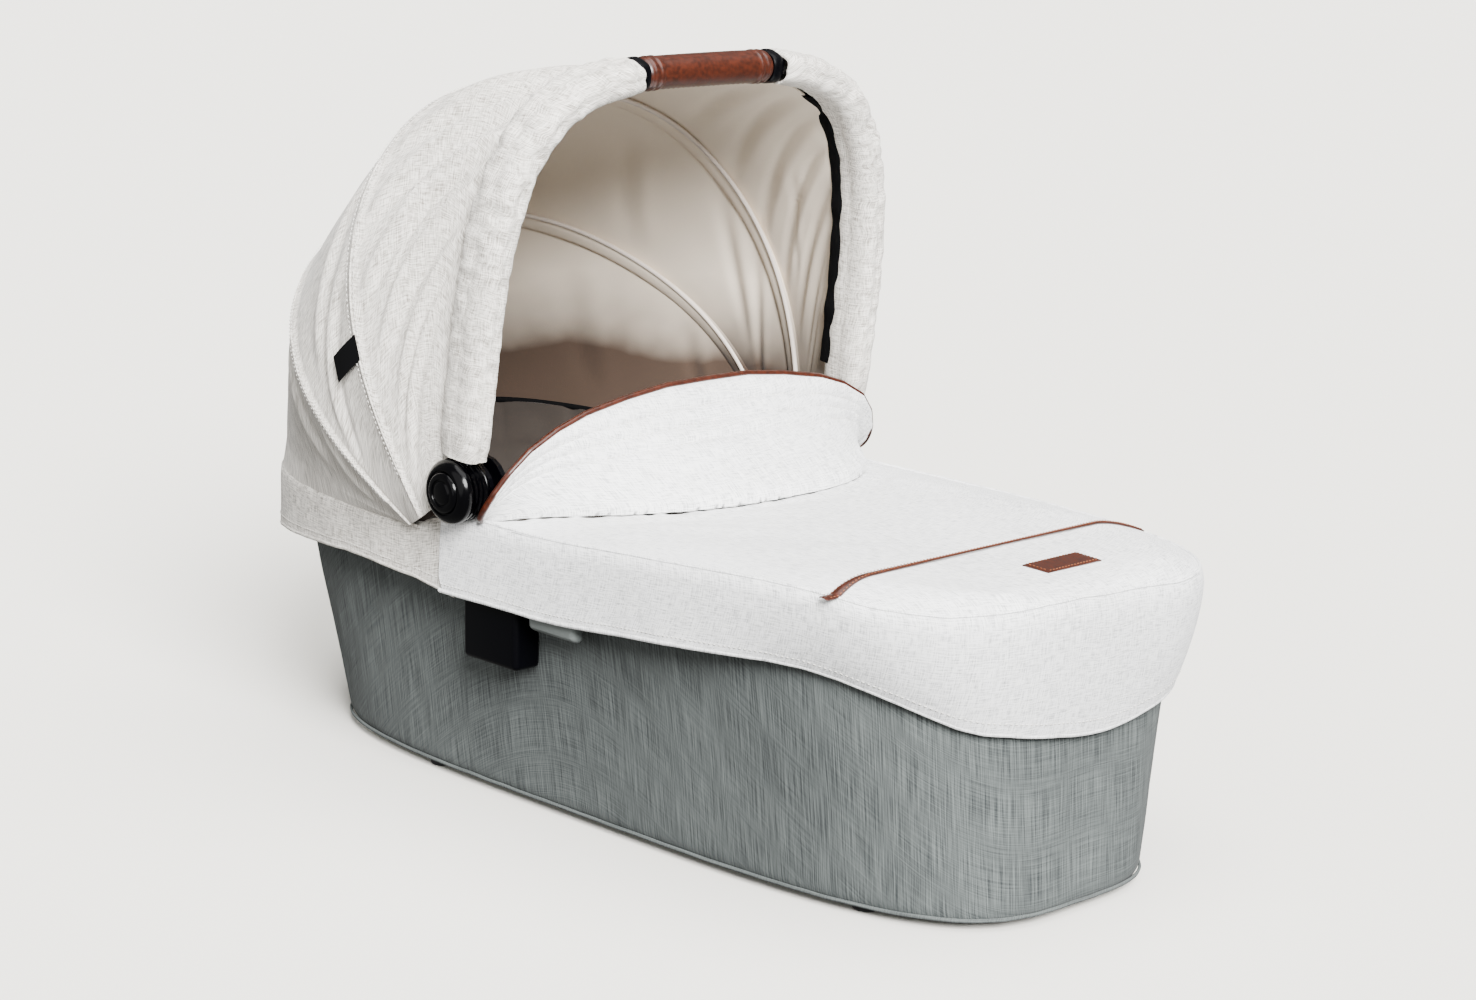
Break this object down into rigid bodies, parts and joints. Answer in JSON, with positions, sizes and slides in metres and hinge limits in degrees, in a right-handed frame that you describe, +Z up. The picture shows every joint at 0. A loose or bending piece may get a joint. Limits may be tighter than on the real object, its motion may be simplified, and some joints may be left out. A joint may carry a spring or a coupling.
{
  "type": "pram carrycot",
  "caption": "Fabric-sided pram carrycot with a folding hood, leather grip, fixed apron, fold-down wind flap and chassis adapters.",
  "frame": {"origin": "on the ground, below the middle of the whole box", "axes": "+Z up, +Y towards the head end and the hood, +X towards the baby's left side"},
  "size_m": [0.4926, 0.8764, 0.6077],
  "materials": {
    "oatmeal_fabric": "woven",
    "apron_fabric": "woven melange",
    "tub_fabric": "woven melange",
    "lining_fabric": "quilted",
    "mattress_fabric": "knitted",
    "tan_leather": "stitched",
    "black_plastic": "gloss",
    "black_rubber": "satin",
    "grey_button": "satin",
    "board_plastic": "matte",
    "tube_aluminium": "satin",
    "spring_steel": "satin"
  },
  "bodies": {
    "cot": {"base_board": "board_plastic", "tub_wall": "tub_fabric", "inner_liner": "lining_fabric", "mattress": "mattress_fabric", "stay_foot": "spring_steel", "stay_head": "spring_steel", "stay_clip_foot_left": "black_plastic", "stay_clip_foot_right": "black_plastic", "stay_clip_head_left": "black_plastic", "stay_clip_head_right": "black_plastic", "foot_foot_left": "black_rubber", "foot_foot_right": "black_rubber", "foot_head_left": "black_rubber", "foot_head_right": "black_rubber", "rim_tube_foot": "tube_aluminium", "rim_tube_head": "tube_aluminium", "rim_peg_left": "board_plastic", "rim_peg_right": "board_plastic", "adapter_left": "black_plastic", "adapter_right": "black_plastic", "button_spring_left": "spring_steel", "button_spring_right": "spring_steel", "apron_skirt": "apron_fabric", "apron_top": "apron_fabric", "apron_strap": "tan_leather", "apron_patch": "tan_leather", "head_band": "oatmeal_fabric", "hood_back": "oatmeal_fabric", "hinge_pin_left": "spring_steel", "hinge_pin_right": "spring_steel", "hinge_plate_left": "black_plastic", "hinge_plate_right": "black_plastic", "hinge_detent_left": "black_plastic", "hinge_detent_right": "black_plastic", "hinge_cap_left": "black_plastic", "hinge_cap_right": "black_plastic"},
    "front_bow": {"hood_bow": "tube_aluminium", "bow_knuckle_left": "black_plastic", "bow_knuckle_right": "black_plastic", "grip": "tan_leather", "grip_collar_left": "black_rubber", "grip_collar_right": "black_rubber", "bow_sleeve_left": "apron_fabric", "bow_sleeve_right": "apron_fabric", "hood_panel_front": "oatmeal_fabric"},
    "front_rib": {"rib_front": "spring_steel", "hood_panel_middle": "oatmeal_fabric"},
    "rear_rib": {"rib_rear": "spring_steel", "hood_panel_rear": "oatmeal_fabric"},
    "flap": {"wind_flap": "apron_fabric", "flap_piping": "tan_leather"},
    "button_left": {"release_button_left": "grey_button"},
    "button_right": {"release_button_right": "grey_button"},
    "bolt_left": {"latch_bolt_left": "spring_steel"},
    "bolt_right": {"latch_bolt_right": "spring_steel"}
  },
  "joints": [
    {"name": "hood_fold", "type": "hinge", "parent": "cot", "child": "front_bow", "pos_m": [0, 0.05847, 0.2702], "axis": [-1, 0, 0], "range_deg": [0, 58]},
    {"name": "front_rib_fold", "type": "hinge", "parent": "cot", "child": "front_rib", "pos_m": [0, 0.05847, 0.2702], "axis": [-1, 0, 0], "range_deg": [0, 38.2]},
    {"name": "rear_rib_fold", "type": "hinge", "parent": "cot", "child": "rear_rib", "pos_m": [0, 0.05847, 0.2702], "axis": [-1, 0, 0], "range_deg": [0, 13.3]},
    {"name": "flap_fold", "type": "hinge", "parent": "cot", "child": "flap", "pos_m": [0, -0.08553, 0.26528], "axis": [1, 0, 0], "range_deg": [0, 110]},
    {"name": "release_button_left_slide", "type": "slide", "parent": "cot", "child": "button_left", "axis": [0, 0, 1], "range_m": [0, 0.008], "stiffness_N_per_m": 250, "springref_m": -0.004, "deforming": ["button_spring_left"]},
    {"name": "latch_bolt_left_slide", "type": "slide", "parent": "cot", "child": "bolt_left", "axis": [0, -1, 0], "range_m": [0, 0.00405]},
    {"name": "release_button_right_slide", "type": "slide", "parent": "cot", "child": "button_right", "axis": [0, 0, 1], "range_m": [0, 0.008], "stiffness_N_per_m": 250, "springref_m": -0.004, "deforming": ["button_spring_right"]},
    {"name": "latch_bolt_right_slide", "type": "slide", "parent": "cot", "child": "bolt_right", "axis": [0, -1, 0], "range_m": [0, 0.00405]}
  ],
  "couplings": [
    {"joint": "front_rib_fold", "follows": "hood_fold", "ratio": 0.65517},
    {"joint": "rear_rib_fold", "follows": "hood_fold", "ratio": 0.22759},
    {"joint": "latch_bolt_left_slide", "follows": "release_button_left_slide", "ratio": 0.5},
    {"joint": "latch_bolt_right_slide", "follows": "release_button_right_slide", "ratio": 0.5}
  ]
}
